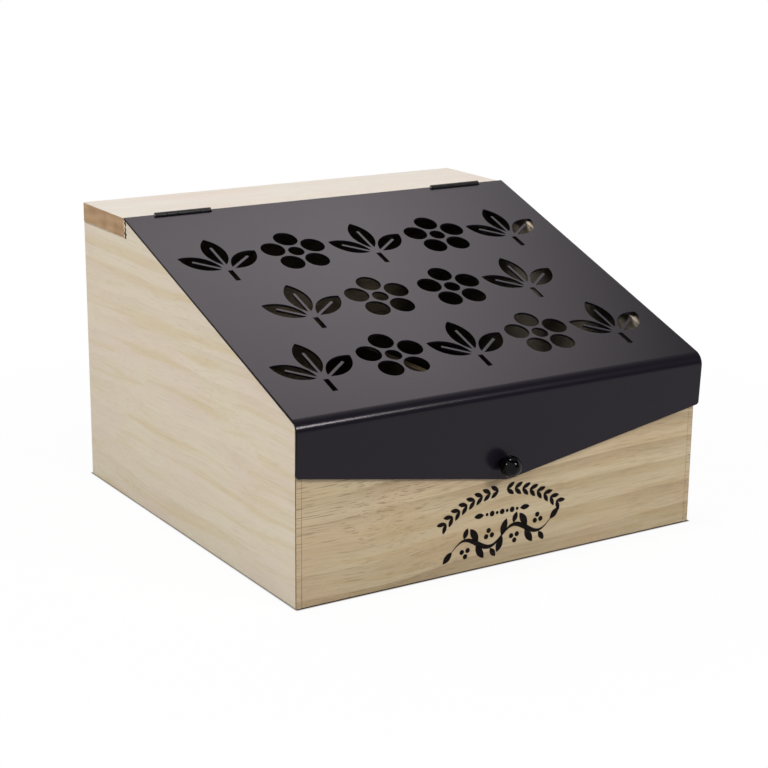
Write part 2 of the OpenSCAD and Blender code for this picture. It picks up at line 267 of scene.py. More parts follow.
@cache
def wood_figure_group() -> NodeTree:
    """Builds the wood effect along the vector's X: rings, yellow streaks, fibres, pores and tints.

    Returns:
        The node group.
    """
    group, tree, given, result = effect_group(
        "wood_figure",
        {"Vector": (0.0, 0.0, 0.0), "Pale": WHITE, "Deep": WHITE, "Tint": WHITE, "Streak": WHITE,
         "Ring Scale": 40.0, "Rings": 0.5, "Streaks": 0.4, "Fibres": 0.5, "Pores": 0.5},
        {"Color": "Color", "Height": "Float", "Roughness": "Float"})
    vector = given.outputs["Vector"]
    sway = tree.add("TexNoise", {"Vector": tree.stretch(vector, WOOD_SWAY_SCALE), "Scale": 1.0,
                                 "Detail": 1.0}).outputs["Color"]
    swayed = tree.vector_maths("MULTIPLY_ADD", sway, WOOD_SWAY_REACH, vector)
    wave = tree.add("TexWave", {"Vector": tree.stretch(swayed, WOOD_RING_STRETCH),
                                "Scale": given.outputs["Ring Scale"], "Distortion": 5.0, "Detail": 2.5,
                                "Detail Scale": 0.55, "Detail Roughness": 0.55},
                    wave_type="RINGS", rings_direction="X", wave_profile="SAW").outputs["Fac"]
    zones = tree.marks(vector, WOOD_ZONES)
    rings = tree.times(tree.between(wave, 0.15, 1.0), given.outputs["Rings"])
    ring_mask = tree.times(rings, tree.maths("MULTIPLY_ADD", zones, 0.75, 0.25))
    streak_mask = tree.times(tree.marks(swayed, WOOD_STREAKS), given.outputs["Streaks"])
    fibres = tree.times(tree.marks(swayed, WOOD_FIBRES), given.outputs["Fibres"])
    fibre_mask = tree.times(fibres, tree.maths("MULTIPLY_ADD", zones, 0.6, 0.4))
    pore_mask = tree.times(tree.marks(swayed, WOOD_PORES), given.outputs["Pores"])
    tint_mask = tree.times(tree.marks(vector, WOOD_TINTS), 0.8)

    tinted = tree.mix(tint_mask, given.outputs["Pale"], given.outputs["Tint"])
    ringed = tree.mix(ring_mask, tinted, given.outputs["Deep"])
    streaked = tree.mix(streak_mask, ringed, given.outputs["Streak"])
    fibred = tree.mix(fibre_mask, streaked, given.outputs["Deep"])
    pored = tree.mix(pore_mask, fibred, tree.mix(1.0, given.outputs["Deep"], PORE_SHADE, "MULTIPLY"))
    relief = tree.maths("MULTIPLY_ADD", fibre_mask, -0.6, tree.times(pore_mask, -0.9))
    tree.feed(result, {"Color": pored, "Height": relief,
                       "Roughness": tree.maths("MULTIPLY_ADD", ring_mask, -0.1, 0.62)})
    return group


@cache
def shade_group() -> NodeTree:
    """Builds the painted shade of wood inside closed spaces: a factor of 1 in the open, less inside.

    Returns:
        The node group.
    """
    group, tree, given, result = effect_group("inside_shade", {"Reach": 0.2, "Least": 0.1},
                                              {"Factor": "Float"})
    openness = tree.add("AmbientOcclusion", {"Distance": given.outputs["Reach"]}, samples=6)
    factor = tree.add("MapRange", {"Value": openness.outputs["AO"], "From Min": 0.08, "From Max": 0.45,
                                   "To Min": given.outputs["Least"], "To Max": 1.0})
    tree.feed(result, {"Factor": factor.outputs["Result"]})
    return group


@cache
def fine_relief_group() -> NodeTree:
    """Builds the surface of sprayed or moulded finishes: fine relief and a slow change in gloss.

    Returns:
        The node group.
    """
    group, tree, given, result = effect_group(
        "fine_relief", {"Vector": (0.0, 0.0, 0.0), "Grain Scale": 1500.0, "Gloss": 0.4, "Gloss Change": 0.06},
        {"Height": "Float", "Roughness": "Float"})
    vector = given.outputs["Vector"]
    grain = tree.noise(vector, given.outputs["Grain Scale"], roughness=0.55)
    cloud = tree.noise(vector, 22.0, detail=3.0, roughness=0.6)
    spread = tree.times(tree.maths("SUBTRACT", cloud, 0.5), given.outputs["Gloss Change"])
    tree.feed(result, {"Height": grain, "Roughness": tree.maths("ADD", given.outputs["Gloss"], spread)})
    return group


# ---- finishes


# Painted shade: the colour that wood takes deep inside closed spaces.
DEEP_SHADE = srgb(10, 7, 5)


@dataclass(frozen=True)
class Finish:
    """A finish's name, with what all finishes share."""

    name: str

    def start(self) -> tuple[Material, Tree, Node, NodeSocket]:
        """Makes an empty material.

        Returns:
            The material, its Tree, its Principled BSDF and its Object coordinates.
        """
        material, tree = fresh_material(self.name)
        shader = tree.add("BsdfPrincipled")
        tree.add("OutputMaterial", {"Surface": shader.outputs[0]})
        return material, tree, shader, tree.add("TexCoord").outputs["Object"]

    def shaded(self, tree: Tree, colour: NodeSocket) -> NodeSocket:
        """Paints shade on a colour inside closed spaces and returns the result."""
        shade = tree.add("Group", node_tree=shade_group())
        return tree.mix(shade.outputs["Factor"], DEEP_SHADE, colour)


@dataclass(frozen=True)
class WoodFinish(Finish):
    """Sanded bare wood, with the figure running along one direction of the case."""

    grain: Axis
    pale: Colour
    deep: Colour
    tint: Colour
    streak: Colour
    ring_scale: float
    rings: float
    streaks: float
    fibres: float
    pores: float
    tilt: float
    shift: Triple
    relief: float = 0.06 * MM
    dense_until: float | None = None
    dense_blur: float = 50 * MM
    thin_pores: float = 0.35
    foot: Pair = (15 * MM, 60 * MM)
    foot_to_top: Pair = (0.45, 1.15)

    def build(self) -> Material:
        """Builds the material from the wood effect.

        Returns:
            The material.
        """
        material, tree, shader, place = self.start()
        tilt = math.radians(self.tilt)
        turn = {Axis.ACROSS: (0.0, tilt, tilt), Axis.BACK: (tilt, 0.0, math.radians(90) + tilt)}[self.grain]
        laid = tree.add("Mapping", {"Vector": place, "Location": self.shift, "Rotation": turn}).outputs[0]
        pores = self.pores
        if self.dense_until is not None:
            across, _, up = tree.add("SeparateXYZ", {0: place}).outputs
            pores = tree.times(tree.between(
                across, self.dense_until - self.dense_blur, self.dense_until + self.dense_blur, self.pores,
                self.pores * self.thin_pores), tree.between(up, *self.foot, *self.foot_to_top))
        figure = tree.add("Group", {
            "Vector": laid, "Pale": self.pale, "Deep": self.deep, "Tint": self.tint, "Streak": self.streak,
            "Ring Scale": self.ring_scale, "Rings": self.rings, "Streaks": self.streaks,
            "Fibres": self.fibres, "Pores": pores}, node_tree=wood_figure_group()).outputs
        tree.feed(shader, {"Base Color": self.shaded(tree, figure["Color"]),
                           "Roughness": figure["Roughness"], "Specular IOR Level": 0.3,
                           "Normal": tree.bump(figure["Height"], self.relief)})
        return material


@dataclass(frozen=True)
class SprayedFinish(Finish):
    """Powder coat, enamel or plated metal: one colour with fine relief."""

    colour: Colour
    gloss: float
    grain_scale: float
    relief: float
    gloss_change: float = 0.0
    metallic: float = 0.0
    specular: float = 0.5
    sheen_tint: Colour = WHITE

    def build(self) -> Material:
        """Builds the material from the fine relief effect.

        Returns:
            The material.
        """
        material, tree, shader, place = self.start()
        surface = tree.add("Group", {"Vector": place, "Grain Scale": self.grain_scale, "Gloss": self.gloss,
                                     "Gloss Change": self.gloss_change},
                           node_tree=fine_relief_group()).outputs
        tree.feed(shader, {"Base Color": self.colour, "Roughness": surface["Roughness"],
                           "Metallic": self.metallic, "Specular IOR Level": self.specular,
                           "Specular Tint": self.sheen_tint,
                           "Normal": tree.bump(surface["Height"], self.relief)})
        return material


@dataclass(frozen=True)
class PlyEdgeFinish(Finish):
    """The cut edge of three-ply board: pale faces with a darker core across the thickness."""

    across: Axis
    middle: float
    core: float = 1.3 * MM
    blur: float = 0.2 * MM
    pale: Colour = srgb(214, 190, 150)
    dark: Colour = srgb(160, 124, 84)
    speckles: Layer = Layer(900.0, (0.35, 0.65), detail=3.0)

    def build(self) -> Material:
        """Builds the layered material.

        Returns:
            The material.
        """
        material, tree, shader, place = self.start()
        depth = tree.add("SeparateXYZ", {0: place}).outputs[self.across.value]
        off = tree.maths("ABSOLUTE", tree.maths("SUBTRACT", depth, self.middle))
        core = tree.between(off, self.core / 2, self.core / 2 + self.blur, 1.0, 0.0)
        speckle = tree.marks(place, self.speckles)
        layered = tree.mix(tree.times(core, 0.8), self.pale, self.dark)
        speckled = tree.mix(tree.times(speckle, 0.3), layered, self.dark)
        tree.feed(shader, {"Base Color": self.shaded(tree, speckled), "Roughness": 0.75,
                           "Specular IOR Level": 0.3, "Normal": tree.bump(speckle, 0.05 * MM)})
        return material


@dataclass(frozen=True)
class EndGrainFinish(Finish):
    """Sawn end grain: warm brown, with faint curved rings and open pores."""

    pale: Colour = srgb(178, 147, 113)
    dark: Colour = srgb(138, 106, 76)
    pith: Triple = (0.0, -60 * MM, 90 * MM)
    clouds: Layer = Layer(70.0, (0.35, 0.65))
    pores: Layer = Layer(2600.0, (0.58, 0.7), detail=1.0)

    def build(self) -> Material:
        """Builds the material from rings, clouds and pores.

        Returns:
            The material.
        """
        material, tree, shader, place = self.start()
        shifted = tree.add("Mapping", {"Vector": place, "Location": self.pith}).outputs[0]
        ring = tree.add("TexWave", {"Vector": shifted, "Scale": 60.0, "Distortion": 2.0, "Detail": 2.0},
                        wave_type="RINGS", rings_direction="X").outputs["Fac"]
        cloud = tree.marks(place, self.clouds)
        pore = tree.marks(place, self.pores)
        mask = tree.maths("MULTIPLY_ADD", ring, 0.3, tree.times(cloud, 0.5))
        tone = tree.mix(mask, self.pale, self.dark)
        tree.feed(shader, {"Base Color": tree.mix(tree.times(pore, 0.5), tone, self.dark),
                           "Roughness": 0.8, "Specular IOR Level": 0.25,
                           "Normal": tree.bump(tree.times(pore, -1.0), 0.05 * MM)})
        return material


@dataclass(frozen=True)
class InkFinish(Finish):
    """Matt black printing ink that lets the wood's fibres break its edges a little."""

    colour: Colour = srgb(20, 15, 15)
    worn: Colour = srgb(44, 36, 31)
    fibre_stretch: Triple = (0.05, 1.0, 1.0)
    fibre_scale: float = 1400.0

    def build(self) -> Material:
        """Builds the material from drawn-out fibres.

        Returns:
            The material.
        """
        material, tree, shader, place = self.start()
        fibre = tree.noise(tree.stretch(place, self.fibre_stretch), self.fibre_scale)
        tree.feed(shader, {"Base Color": tree.mix(tree.between(fibre, 0.55, 0.75), self.colour, self.worn),
                           "Roughness": 0.7, "Specular IOR Level": 0.05,
                           "Normal": tree.bump(fibre, 0.03 * MM)})
        return material


# ---- mesh helpers


def add_object(name: str, data: ID) -> Object:
    """Puts an object into the scene.

    Args:
        name: its name.
        data: its mesh, lamp or camera.

    Returns:
        The object.
    """
    thing = bpy.data.objects.new(name, data)
    bpy.context.scene.collection.objects.link(thing)
    return thing


def mesh_object(bm: BMesh, name: str, materials: Iterable[Material]) -> Object:
    """Turns a bmesh into an object.

    Args:
        bm: the shape, which is freed.
        name: the object's name.
        materials: its materials, in the order of the faces' indices.

    Returns:
        The object.
    """
    mesh = bpy.data.meshes.new(name)
    bm.to_mesh(mesh)
    bm.free()
    for material in materials:
        mesh.materials.append(material)
    return add_object(name, mesh)


def piece_from(bm: BMesh, name: str, materials: Iterable[Material], body: str) -> Object:
    """Turns a bmesh into a piece that rides on a body.

    Args:
        bm, name, materials: as in mesh_object, the shape in metres in the part's frame.
        body: the body that carries it.

    Returns:
        The new object.
    """
    piece = mesh_object(bm, name, materials)
    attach(piece, body)
    log.info("%s: %d faces", name, len(piece.data.polygons))
    return piece


def dressed_node(bm: BMesh, node: str, name: str, materials: Iterable[Material], body: str) -> Object:
    """Makes the piece that stands for a node, whose flat faces keep their shading beside eased edges.

    Args:
        bm, name, materials, body: as in piece_from.
        node: the node that it stands for.

    Returns:
        The new object.
    """
    piece = piece_from(bm, name, materials, body)
    piece.modifiers.new("flat_faces", "WEIGHTED_NORMAL").keep_sharp = True
    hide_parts(node)
    return piece


def spare(piece: Object, lamp: str) -> None:
    """Keeps one lamp off a piece, which would otherwise hide under its glare from some sides.

    Args:
        piece: the piece.
        lamp: the lamp's name.
    """
    spared = bpy.data.collections.new(f"{piece.name}_spared")
    spared.objects.link(piece)
    spared.collection_objects[0].light_linking.link_state = "EXCLUDE"
    bpy.data.objects[lamp].light_linking.receiver_collection = spared


WELD = 2e-6
FLAT = math.radians(0.5)
CORNER = math.radians(35)
CREASE = math.radians(50)


def eased_copy(node: str, ease: float, steps: int, shortest: float = 0.0) -> BMesh:
    """Copies a node's solid and rounds its sharp edges.

    Args:
        node: the node to copy.
        ease: the width of the rounding, in metres.
        steps: segments in the rounding.
        shortest: edges shorter than this stay sharp, in metres.

    Returns:
        A new bmesh with smooth shading and marked sharp edges.
    """
    bm = bmesh.new()
    bm.from_mesh(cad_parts[node].data)
    bmesh.ops.remove_doubles(bm, verts=bm.verts, dist=WELD)
    bmesh.ops.dissolve_limit(bm, angle_limit=FLAT, verts=bm.verts, edges=bm.edges)
    corners = [edge for edge in bm.edges
               if len(edge.link_faces) == 2 and edge.calc_face_angle() > CORNER
               and edge.calc_length() > shortest]
    bmesh.ops.bevel(bm, geom=corners, offset=ease, offset_type="OFFSET", segments=steps, profile=0.5,
                    affect="EDGES", clamp_overlap=True, material=-1)
    for face in bm.faces:
        face.smooth = True
    for edge in bm.edges:
        edge.smooth = len(edge.link_faces) != 2 or edge.calc_face_angle() < CREASE
    return bm


def mark_faces(bm: BMesh, index: int, test: Callable[[BMFace], bool]) -> None:
    """Gives the faces that pass a test another material.

    Args:
        bm: the shape.
        index: the material's index.
        test: says whether a face takes it.
    """
    bm.normal_update()
    for face in bm.faces:
        if test(face):
            face.material_index = index


def along(face: BMFace, axis: Axis) -> float:
    """Returns how far a face's normal lies along an axis, from 0 to 1."""
    return abs(face.normal[axis.value])


# ---- case


@dataclass
class Board:
    """One board of the case: its node, its two finishes, its material slot, which is not used, and its eased
    edges' width.
    """

    node: str
    finish: WoodFinish
    ends: Finish
    slot: str = "pine_panel"
    ease: float = 0.3 * MM


FRONT_WOOD = WoodFinish(
    "wood_front", Axis.ACROSS, pale=srgb(207, 189, 156), deep=srgb(150, 124, 90), tint=srgb(206, 181, 148),
    streak=srgb(190, 164, 120), ring_scale=30.0, rings=0.6, streaks=0.5, fibres=0.4, pores=0.55, tilt=1.2,
    shift=(0.02, 0.05, 0.08), dense_until=0.0)
SIDE_WOOD = WoodFinish(
    "wood_side_left", Axis.BACK, pale=srgb(212, 201, 180), deep=srgb(186, 164, 130),
    tint=srgb(212, 196, 180), streak=srgb(202, 184, 146), ring_scale=26.0, rings=0.25, streaks=0.6,
    fibres=0.22, pores=0.12, tilt=2.0, shift=(0.05, 0.13, 0.02))
TOP_WOOD = WoodFinish(
    "wood_top", Axis.ACROSS, pale=srgb(227, 219, 208), deep=srgb(208, 190, 168), tint=srgb(228, 214, 204),
    streak=srgb(226, 212, 192), ring_scale=22.0, rings=0.3, streaks=0.3, fibres=0.2, pores=0.15, tilt=1.0,
    shift=(0.1, -0.06, -0.1))
EVEN_WOOD = replace(FRONT_WOOD, dense_until=None)
PALE_ENDS = EndGrainFinish("end_grain_panel", srgb(206, 190, 164), srgb(176, 152, 120))


def rough_wood(name: str, colour: Colour) -> SprayedFinish:
    """Returns the plain dull finish of the case's narrow edges and splinters."""
    return SprayedFinish(name, colour, gloss=0.8, grain_scale=900.0, relief=0.02 * MM, specular=0.2)


@dataclass
class WoodenCase:
    """The glued case: four walls and the fixed top board, with edges eased by a light sanding."""

    shortest_eased: float = 12 * MM
    chip_width: float = 1.7 * MM
    chip_films: tuple[Triple, ...] = ((1.0, 0.0, 0.03 * MM), (0.6, 0.6, 0.02 * MM))
    chip_steps: int = 24
    chip_clearance: float = 0.1 * MM
    boards: list[Board] = field(default_factory=lambda: [
        Board("side_left", SIDE_WOOD, replace(EVEN_WOOD, name="wood_side_ends")),
        Board("side_right", replace(SIDE_WOOD, name="wood_side_right", tilt=-2.0, shift=(0.31, -0.07, 0.05)),
              replace(EVEN_WOOD, name="wood_side_ends_right")),
        Board("front_panel", FRONT_WOOD, PALE_ENDS, ease=0.1 * MM),
        Board("back_panel", replace(EVEN_WOOD, name="wood_back", pale=srgb(204, 188, 160), tilt=-1.4,
                                    shift=(0.4, -0.12, 0.05)), PALE_ENDS),
        Board("top_board", TOP_WOOD, EndGrainFinish("end_grain_board"), "pine_board"),
    ])

    def build(self) -> None:
        """Builds every board and reports it."""
        dark = [rough_wood("dark_arris", srgb(112, 88, 64)).build(),
                rough_wood("dark_foot_edge", srgb(62, 50, 40)).build()]
        for board in self.boards:
            bm = eased_copy(board.node, board.ease, 2, self.shortest_eased)
            mark_faces(bm, 1, lambda face, axis=board.finish.grain: along(face, axis) > 0.9)
            if board.node.startswith("side"):
                outward = -1 if board.node == "side_left" else 1
                mark_faces(bm, 2, lambda face, outward=outward: face.normal.y < -0.3
                           and face.normal.x * outward > 0.3 and along(face, Axis.UP) < 0.3)
            # Downward bevel faces along the foot take a dark material: painted shade for the contact line
            # with the floor.
            mark_faces(bm, 3, lambda face, ease=board.ease: -0.98 < face.normal.z < -0.3
                       and face.calc_center_median().z < ease)
            looks = [board.finish.build(), board.ends.build(), *dark]
            dressed_node(bm, board.node, board.node + "_board", looks, "box")
        self.build_chips(dark[1], rough_wood("fresh_splinters", srgb(232, 216, 186)).build())

    def build_chips(self, dark: Material, pale: Material) -> None:
        """Lays the torn joint line at the front of the top board's left end, behind the lid's edge.

        Args:
            dark: the shaded wood of the tear.
            pale: the fresh wood of the splinters beside it.
        """
        low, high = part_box("top_board")
        height = high.z - low.z
        behind_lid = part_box("lid_sheet")[1].y + self.chip_clearance
        quarter = math.radians(90)
        bm = bmesh.new()
        for index, (share, aside, lift) in enumerate(self.chip_films):
            width, front = self.chip_width * share, low.y + self.chip_width * aside
            film = bmesh.ops.create_grid(bm, x_segments=1, y_segments=self.chip_steps, size=0.5)["verts"]
            bmesh.ops.transform(bm, verts=film, matrix=Matrix.Translation(
                (low.x - lift, front, (low.z + high.z) / 2)) @ Matrix.Rotation(quarter, 4, "Y")
                @ Matrix.Diagonal((height, width, 1, 1)) @ Matrix.Rotation(quarter, 4, "Z"))
            for vert in film:
                step = round((vert.co.z - low.z) / height * self.chip_steps)
                beyond = 1 if vert.co.y > front else -1
                ragged = (0.5 * math.sin(step * 1.1 + beyond) + 0.3 * math.sin(step * 2.7 + index)
                          + 0.3 * beyond * math.sin(step * 0.37 + 2 * index))
                vert.co.y += ragged * width * 0.5
                if vert.co.z > high.z - MM:
                    vert.co.y = max(vert.co.y, behind_lid)
            for face in {face for vert in film for face in vert.link_faces}:
                face.material_index = index
        bmesh.ops.recalc_face_normals(bm, faces=bm.faces)
        bmesh.ops.reverse_faces(bm, faces=[face for face in bm.faces if face.normal.x > 0])
        piece_from(bm, "top_board_chips", [dark, pale], "box")


@dataclass
class PlyPanels:
    """The thin plywood pieces, the bottom and the three dividers: each one's thin way and its grain."""

    ease: float = 0.15 * MM
    shortest_eased: float = 3 * MM
    panels: tuple[tuple[str, Axis, Axis], ...] = (
        ("base_panel", Axis.UP, Axis.ACROSS), ("divider_long", Axis.BACK, Axis.ACROSS),
        ("divider_cross_left", Axis.ACROSS, Axis.BACK), ("divider_cross_right", Axis.ACROSS, Axis.BACK))

    def build(self) -> None:
        """Builds the bottom and the dividers with layered edges."""
        for node, axis, grain in self.panels:
            low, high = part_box(node)
            middle = (low[axis.value] + high[axis.value]) / 2
            face = WoodFinish(
                "ply_face_" + node, grain, pale=srgb(206, 182, 142), deep=srgb(168, 136, 96),
                tint=srgb(200, 170, 132), streak=srgb(190, 162, 120), ring_scale=12.0, rings=0.5,
                streaks=0.3, fibres=0.35, pores=0.3, tilt=3.0, shift=(low.x, low.y, middle))
            edge = PlyEdgeFinish("ply_edge_" + node, axis, middle)
            bm = eased_copy(node, self.ease, 1, self.shortest_eased)
            mark_faces(bm, 1, lambda side, axis=axis: along(side, axis) < 0.5)
            dressed_node(bm, node, node + "_ply", [face.build(), edge.build()], "box")


@dataclass
class FrontPrint:
    """The small ornament on the front board: an arch of leaf pairs, a row of dots and a berry vine."""

    film: float = 0.04 * MM
    middle: float = -2 * MM
    arch_radius: float = 50 * MM
    arch_top: float = 35.5 * MM
    arch_half_angle: float = 38.0
    arch_pairs: int = 16
    row_height: float = 25 * MM
    row_half: float = 14 * MM
    vine_height: float = 13.5 * MM
    vine_half: float = 27.5 * MM
    vine_swing: float = 3.4 * MM
    vine_steps: int = 60
    vine_rise: float = 6.0
    arch_leaf: Pair = (5.2 * MM, 2.2 * MM)
    row_leaf: Pair = (5.5 * MM, 2.6 * MM)
    bend_leaf: Pair = (5.4 * MM, 2.8 * MM)
    slope_leaf: Pair = (8.0 * MM, 3.6 * MM)
    tip_leaf: Pair = (7.0 * MM, 3.2 * MM)
    arch_lean: float = 34.0
    small_dot: float = 0.8 * MM
    large_dot: float = 1.35 * MM
    berry: float = 1.25 * MM
    berry_places: tuple[Pair, ...] = ((-1.6 * MM, 5.2 * MM), (1.6 * MM, 5.2 * MM), (0.0, 7.8 * MM))
    drawing: BMesh = field(default_factory=bmesh.new)

    def outline(self, points: list[Pair]) -> None:
        """Adds one filled shape, drawn with X across and Y up."""
        corners = [self.drawing.verts.new((*point, 0.0)) for point in points]
        bmesh.ops.contextual_create(self.drawing, geom=corners)

    def leaf(self, size: Pair, root: Pair, turn: float) -> None:
        """Adds one pointed leaf.

        Args:
            size: the leaf's length and width in metres.
            root: where its stalk end lies.
            turn: its direction from the X axis, in degrees, anticlockwise.
        """
        steps = 8
        length, width = size
        swell = [math.sin(math.pi * i / steps) ** 0.8 * width / 2 for i in range(1, steps)]
        rib = [length * i / steps for i in range(1, steps)]
        points = [(0.0, 0.0), *zip(rib, [-part for part in swell]), (length, 0.0),
                  *zip(reversed(rib), reversed(swell))]
        spin = Matrix.Rotation(math.radians(turn), 2)
        self.outline([tuple(Vector(root) + spin @ Vector(point)) for point in points])

    def dot(self, radius: float, at: Pair) -> None:
        """Adds one round berry or dot of the given radius."""
        bmesh.ops.create_circle(self.drawing, cap_ends=True, segments=16, radius=radius,
                                matrix=Matrix.Translation((*at, 0.0)))

    def arch(self) -> None:
        """Draws the arch: leaf pairs that fan out to both sides from its middle."""
        span = math.radians(self.arch_half_angle)
        for i in range(self.arch_pairs):
            angle = span * (2 * i / (self.arch_pairs - 1) - 1)
            root = (self.arch_radius * math.sin(angle),
                    self.arch_top + self.arch_radius * (math.cos(angle) - 1))
            ahead = 180 if angle < 0 else 0
            for lean in (self.arch_lean, -self.arch_lean):
                self.leaf(self.arch_leaf, root, ahead + lean - math.degrees(angle))

    def row(self) -> None:
        """Draws the row of dots between two small leaves."""
        for i in range(-3, 4):
            self.dot(self.small_dot if i % 2 else self.large_dot, (i * self.row_half * 0.2, self.row_height))
        for side, turn in ((1, 0), (-1, 180)):
            self.leaf(self.row_leaf, (side * (self.row_half - 4 * MM), self.row_height), turn)

    def stem(self, part: float) -> tuple[Vector, Vector]:
        """Finds a point of the vine's stem.

        Args:
            part: the place along the stem, from -1 to 1.

        Returns:
            The point, and the way from it to the stem's upper edge.
        """
        phase = 2 * math.pi * part
        slope = self.vine_swing * 2 * math.pi / self.vine_half * math.cos(phase)
        thickness = (0.9 - 0.45 * math.cos(phase)) * (1.0 - 0.6 * abs(part) ** 3) * MM
        return (Vector((part * self.vine_half, self.vine_swing * math.sin(phase))),
                Vector((-slope, 1.0)).normalized() * thickness)

    def vine(self) -> None:
        """Draws the vine: a waving stem with leaves at its slopes and berries inside its bends."""
        bm = self.drawing
        before = set(bm.verts)
        stem = bmesh.ops.create_grid(bm, x_segments=self.vine_steps, y_segments=1, size=1.0)["verts"]
        for vert in stem:
            point, across = self.stem(vert.co.x)
            vert.co = (point + across * vert.co.y).to_3d()
        for quarter in range(-4, 5):
            point, across = self.stem(quarter / 4)
            upper, lower = tuple(point + across), tuple(point - across)
            if quarter % 2:
                bend = 1 if point.y > 0 else -1
                self.leaf(self.bend_leaf, upper if bend > 0 else lower, bend * 62)
                for aside, out in self.berry_places:
                    self.dot(self.berry, (point.x + aside, point.y - bend * out))
            elif abs(quarter) < 4:
                rise = 1 if quarter % 4 else -1
                self.leaf(self.slope_leaf, upper, 90 + rise * 28)
                self.leaf(self.slope_leaf, lower, -90 + rise * 28)
            else:
                self.leaf(self.tip_leaf, tuple(point), 40 if quarter > 0 else 220)
        lift = (Matrix.Translation((0, self.vine_height, 0))
                @ Matrix.Rotation(math.radians(self.vine_rise), 4, "Z"))
        bmesh.ops.transform(bm, verts=[vert for vert in bm.verts if vert not in before], matrix=lift)

    def build(self) -> None:
        """Draws the ornament and lays it on the front board."""
        self.arch()
        self.row()
        self.vine()
        bm = self.drawing
        low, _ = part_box("front_panel")
        stand = Matrix.Translation((self.middle, low.y - self.film, 0)) @ Matrix.Rotation(
            math.radians(90), 4, "X")
        bmesh.ops.transform(bm, verts=bm.verts, matrix=stand)
        bm.normal_update()
        bmesh.ops.reverse_faces(bm, faces=[face for face in bm.faces if face.normal.y > 0])
        piece_from(bm, "front_print", [InkFinish("printing_ink").build()], "box")


# ---- lid


@dataclass
class MetalLid:
    """The bent sheet with its cut-outs, and the ball knob that is screwed to its flap."""

    ease: float = 0.14 * MM
    knob_segments: int = 64
    foot_radii: Pair = (2.8 * MM, 2.4 * MM)

    def build_sheet(self) -> None:
        """Dresses the sheet in powder coat, with every cut edge eased as the coat rounds it."""
        coat = SprayedFinish("powder_coat_black", srgb(27, 24, 32), gloss=0.20, gloss_change=0.03,
                             grain_scale=1500.0, relief=0.006 * MM, specular=0.18,
                             sheen_tint=(1.0, 0.9, 0.93, 1.0))
        # The sheet's end faces take a darker, duller copy of the coat: painted shade for the thin shadow gap
        # beside the wood.
        rim = SprayedFinish("powder_coat_rim", srgb(12, 10, 11), gloss=0.6, grain_scale=1500.0,
                            relief=0.006 * MM, specular=0.04)
        bm = eased_copy("lid_sheet", self.ease, 2)
        low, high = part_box("lid_sheet")
        mark_faces(bm, 1, lambda face: along(face, Axis.ACROSS) > 0.9 and min(
            face.calc_center_median().x - low.x, high.x - face.calc_center_median().x) < self.ease)
        looks = [coat.build(), rim.build()]
        piece = dressed_node(bm, "lid_sheet", "lid_sheet_coated", looks, "lid")
        spare(piece, "lamp_left")

    def build_knob(self) -> None:
        """Turns the ball with its short foot on a lathe line through the screw."""
        low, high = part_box("knob")
        radius = (high.x - low.x) / 2
        centre = Vector(((low.x + high.x) / 2, low.y + radius, high.z - radius))
        axis = Vector((0, -1, 0))
        bm = bmesh.new()
        bmesh.ops.create_uvsphere(bm, u_segments=self.knob_segments, v_segments=self.knob_segments // 2,
                                  radius=radius)
        bmesh.ops.transform(bm, verts=bm.verts, matrix=Matrix.Translation(centre))
        foot = bmesh.ops.create_cone(bm, cap_ends=True, segments=self.knob_segments,
                                     radius1=self.foot_radii[0], radius2=self.foot_radii[1],
                                     depth=radius)["verts"]
        turn = axis.to_track_quat("Z", "Y").to_matrix().to_4x4()
        root = Vector((centre.x, high.y, centre.z)) + axis * radius / 2
        bmesh.ops.transform(bm, verts=foot, matrix=Matrix.Translation(root) @ turn)
        for face in bm.faces:
            face.smooth = True
        enamel = SprayedFinish("knob_enamel", srgb(7, 6, 8), gloss=0.06, gloss_change=0.03,
                               grain_scale=500.0, relief=0.002 * MM, specular=0.12)
        piece = piece_from(bm, "knob_ball", [enamel.build()], "lid")
        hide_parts("knob")

    def build(self) -> None:
        """Builds the sheet and the knob."""
        self.build_sheet()
        self.build_knob()


@dataclass
class Ironmongery:
    """The hinges, pins, screws and nails."""

    ease: float = 0.12 * MM

    def build(self) -> None:
        """Dresses the leaves, and finishes the pins and the small fasteners."""
        black = SprayedFinish("hinge_black", srgb(14, 12, 13), gloss=0.36, gloss_change=0.1,
                              grain_scale=900.0, relief=0.01 * MM, specular=0.25).build()
        steel = SprayedFinish("bright_steel", srgb(176, 176, 178), gloss=0.34, gloss_change=0.12,
                              grain_scale=700.0, relief=0.004 * MM, metallic=1.0).build()
        for side in ("left", "right"):
            for leaf, body in (("fixed_leaf", "box"), ("lid_leaf", "lid")):
                node = f"hinge_{side}_{leaf}"
                dressed_node(eased_copy(node, self.ease, 1), node, node + "_coated", [black], body)
        plain = {"hinge_left_pin": steel, "hinge_right_pin": steel, "hinge_left_screws": black,
                 "hinge_right_screws": black, "knob_screw": steel, "base_nails": steel}
        for node, coat in plain.items():
            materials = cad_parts[node].data.materials
            materials.clear()
            materials.append(coat)
            log.info("%s: %s", node, coat.name)


# ---- studio


@dataclass(frozen=True)
class Softbox:
    """One square area lamp: where it hangs, its side in metres and its power in watts."""

    name: str
    place: Triple
    side: float
    power: float


@dataclass(frozen=True)
class Flag:
    """One black square plane that only reflections see: where it hangs, and half its side in metres."""

    name: str
    place: Triple
    half: float


